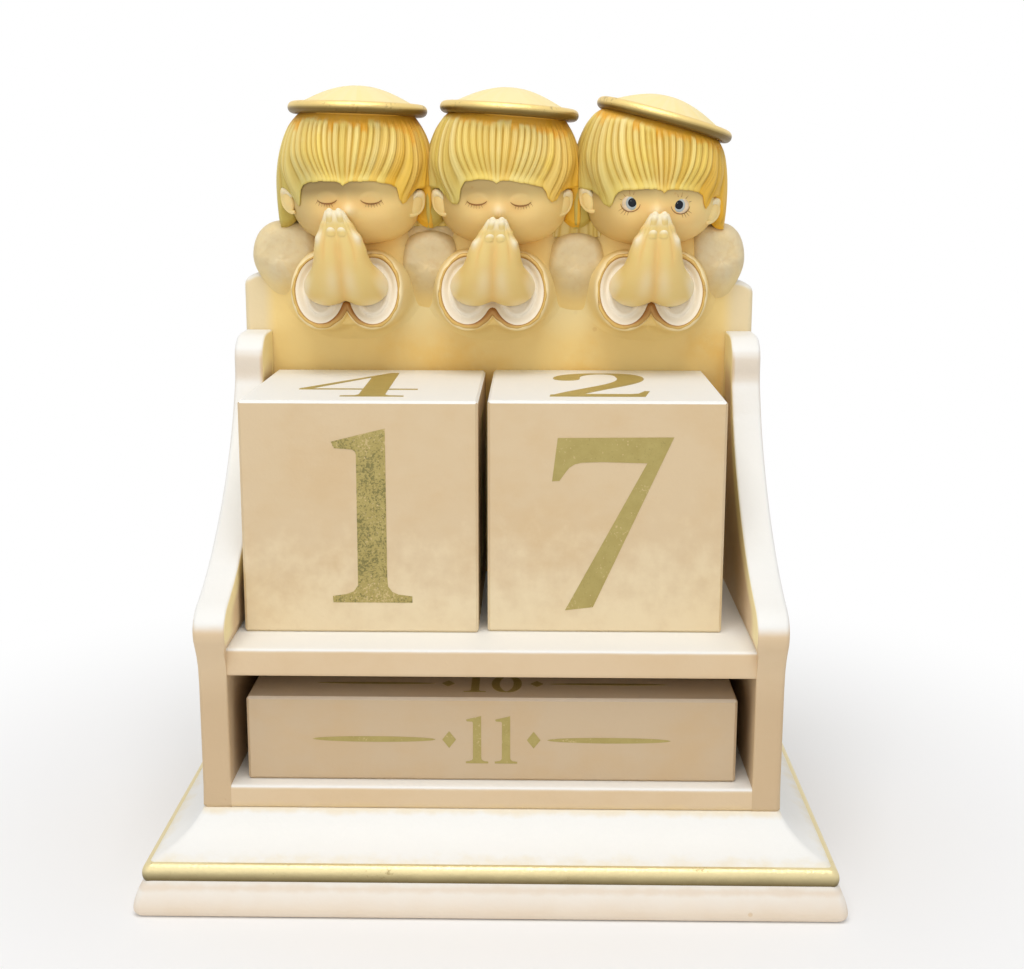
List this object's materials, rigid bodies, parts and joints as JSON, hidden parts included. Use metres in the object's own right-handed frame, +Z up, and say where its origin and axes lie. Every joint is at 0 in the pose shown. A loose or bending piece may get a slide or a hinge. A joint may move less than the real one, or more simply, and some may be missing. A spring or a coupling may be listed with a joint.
{
  "type": "desk calendar",
  "caption": "Free-standing perpetual block calendar: day cubes in an open bay, month bars in the slot below, praying cherub figures with halos along the back panel.",
  "frame": {"origin": "centre of the underside of the base", "axes": "+Z up, -Y towards the viewer (the side that shows the date), +X to the viewer's right"},
  "size_m": [0.1324, 0.087, 0.1528],
  "materials": {
    "cream_resin": "satin hand-painted cast resin",
    "cream_wood": "matte painted wood blocks",
    "gold_paint": "metallic gold paint on cast resin",
    "ochre_gold": "ochre gold paint line",
    "skin_paint": "satin hand-painted skin tone",
    "blond_paint": "satin hand-painted blond with ochre recesses",
    "white_resin": "matte off-white, stippled"
  },
  "bodies": {
    "stand": {"base_slab": "cream_resin", "base_cove": "cream_resin", "case_floor": "cream_resin", "cheek_left": "cream_resin", "cheek_right": "cream_resin", "cube_shelf": "cream_resin", "back_panel": "cream_resin", "gold_bead": "gold_paint", "head_left": "skin_paint", "head_middle": "skin_paint", "head_right": "skin_paint", "hair_left": "blond_paint", "hair_middle": "blond_paint", "hair_right": "blond_paint", "halo_left": "gold_paint", "halo_middle": "gold_paint", "halo_right": "gold_paint", "robe_left": "cream_resin", "robe_middle": "cream_resin", "robe_right": "cream_resin", "cuff_trim_left": "ochre_gold", "cuff_trim_middle": "ochre_gold", "cuff_trim_right": "ochre_gold", "hands_left": "skin_paint", "hands_middle": "skin_paint", "hands_right": "skin_paint", "wing_outer_left": "white_resin", "wing_inner_left": "white_resin", "wing_middle_left": "white_resin", "wing_middle_right": "white_resin", "wing_inner_right": "white_resin", "wing_outer_right": "white_resin"},
    "cube_left": {"day_cube_left": "cream_wood"},
    "cube_right": {"day_cube_right": "cream_wood"},
    "bar_front": {"month_bar_front": "cream_wood"},
    "bar_middle": {"month_bar_middle": "cream_wood"},
    "bar_back": {"month_bar_back": "cream_wood"}
  },
  "joints": [
    {"name": "cube_left_slide", "type": "slide", "parent": "stand", "child": "cube_left", "axis": [0, -1, 0], "range_m": [0, 0.062]},
    {"name": "cube_right_slide", "type": "slide", "parent": "stand", "child": "cube_right", "axis": [0, -1, 0], "range_m": [0, 0.062]},
    {"name": "bar_back_slide", "type": "slide", "parent": "stand", "child": "bar_back", "axis": [0, -1, 0], "range_m": [0, 0.056]},
    {"name": "bar_middle_slide", "type": "slide", "parent": "bar_back", "child": "bar_middle", "axis": [0, -1, 0], "range_m": [0, 0.039]},
    {"name": "bar_front_slide", "type": "slide", "parent": "bar_middle", "child": "bar_front", "axis": [0, -1, 0], "range_m": [0, 0.022]}
  ]
}
